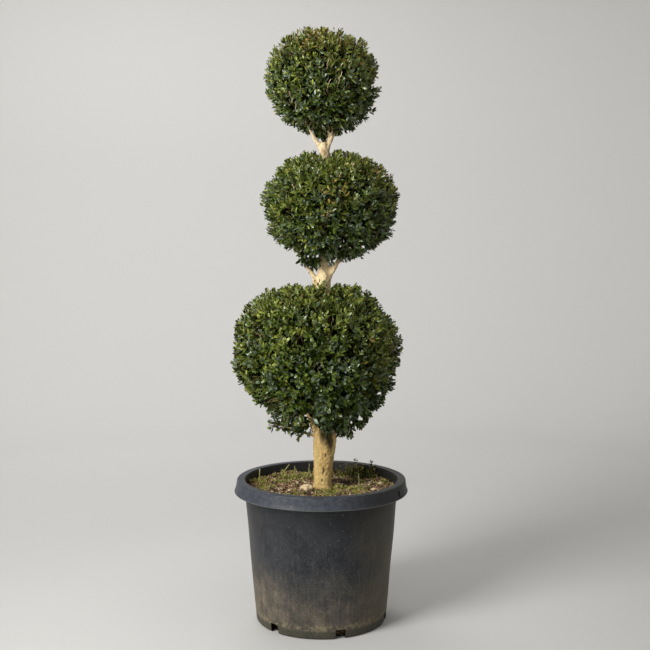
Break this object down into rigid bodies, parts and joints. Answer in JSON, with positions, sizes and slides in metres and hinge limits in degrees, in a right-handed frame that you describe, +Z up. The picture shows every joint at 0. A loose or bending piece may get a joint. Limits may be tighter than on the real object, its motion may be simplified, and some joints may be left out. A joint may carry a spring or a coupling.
{
  "type": "triple ball topiary",
  "caption": "Clipped evergreen shrub trained as a topiary, with foliage balls stacked on one woody stem, growing in a round plastic nursery pot with a turned-down rim.",
  "frame": {"origin": "centre of the pot's flat underside, at floor level", "axes": "+Z up along the stem; -Y is the side that faces the viewer of the picture, with +X to their right"},
  "size_m": [0.4508, 0.45, 1.5117],
  "materials": {
    "pot_plastic": "matte, scuffed",
    "potting_mix": "loose and rough",
    "bark": "matte bark",
    "leaves": "glossy leaves"
  },
  "bodies": {
    "root": {"pot": "pot_plastic", "soil": "potting_mix", "trunk": "bark", "bough_low_left": "bark", "bough_low_side": "bark", "bough_low_right": "bark", "bough_low_back_right": "bark", "bough_low_back_left": "bark", "bough_low_front": "bark", "bough_mid_left": "bark", "bough_mid_right": "bark", "bough_mid_back": "bark", "bough_top_right": "bark", "bough_top_left": "bark", "bough_top_back": "bark", "bough_top_inner": "bark", "foliage_low": "leaves", "foliage_middle": "leaves", "foliage_top": "leaves", "spray_low": "leaves"}
  },
  "joints": []
}
